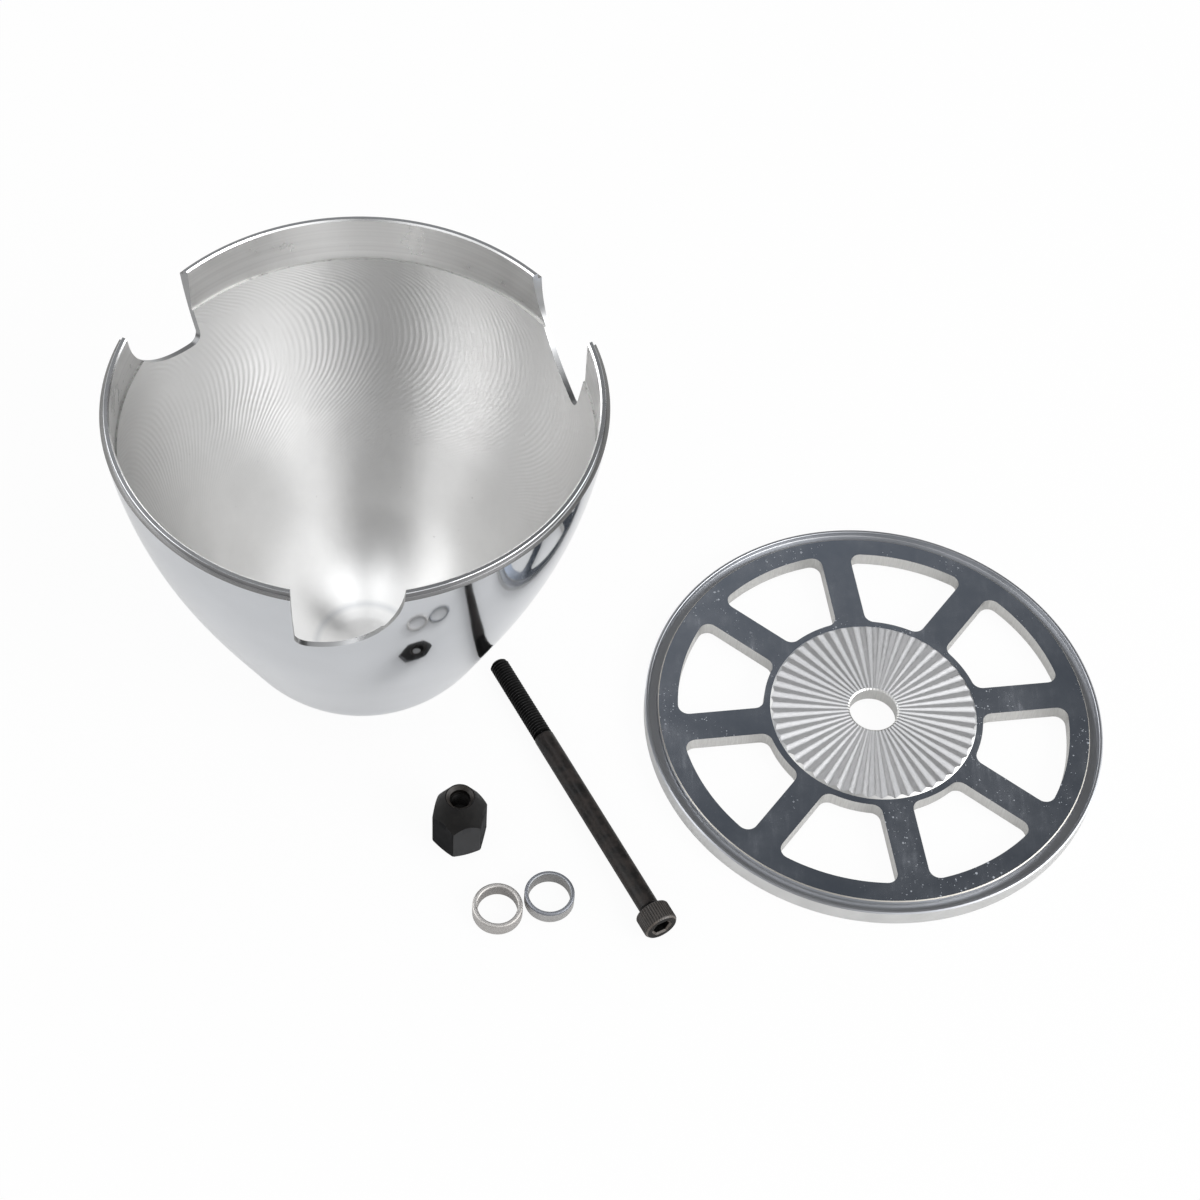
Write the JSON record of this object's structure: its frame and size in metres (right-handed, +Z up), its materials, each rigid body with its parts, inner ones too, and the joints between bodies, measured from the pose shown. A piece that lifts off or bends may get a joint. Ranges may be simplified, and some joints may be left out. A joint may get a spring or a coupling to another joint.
{
  "type": "propeller spinner",
  "caption": "Turned aluminium propeller spinner taken apart: cone with blade cut-outs, vented backplate, long cap screw, shaft nut and bore reducer rings.",
  "frame": {"origin": "middle of the set's footprint, on the plane that every piece rests on", "axes": "+Z up, away from the resting plane; +X from the upturned cone towards the backplate; +Y towards the cone's and the plate's far side, away from the screw, nut and rings"},
  "size_m": [0.2426, 0.1376, 0.1],
  "materials": {
    "cone": "polished outside, satin turned inside",
    "backplate": "polished face, milled windows",
    "rings": "satin turned",
    "screw": "black oxide",
    "nut": "black oxide"
  },
  "bodies": {
    "root": {"spinner_cone": "cone", "backplate": "backplate", "cone_screw": "screw", "prop_nut": "nut", "reducer_ring_thick": "rings", "reducer_ring_thin": "rings"}
  },
  "joints": []
}
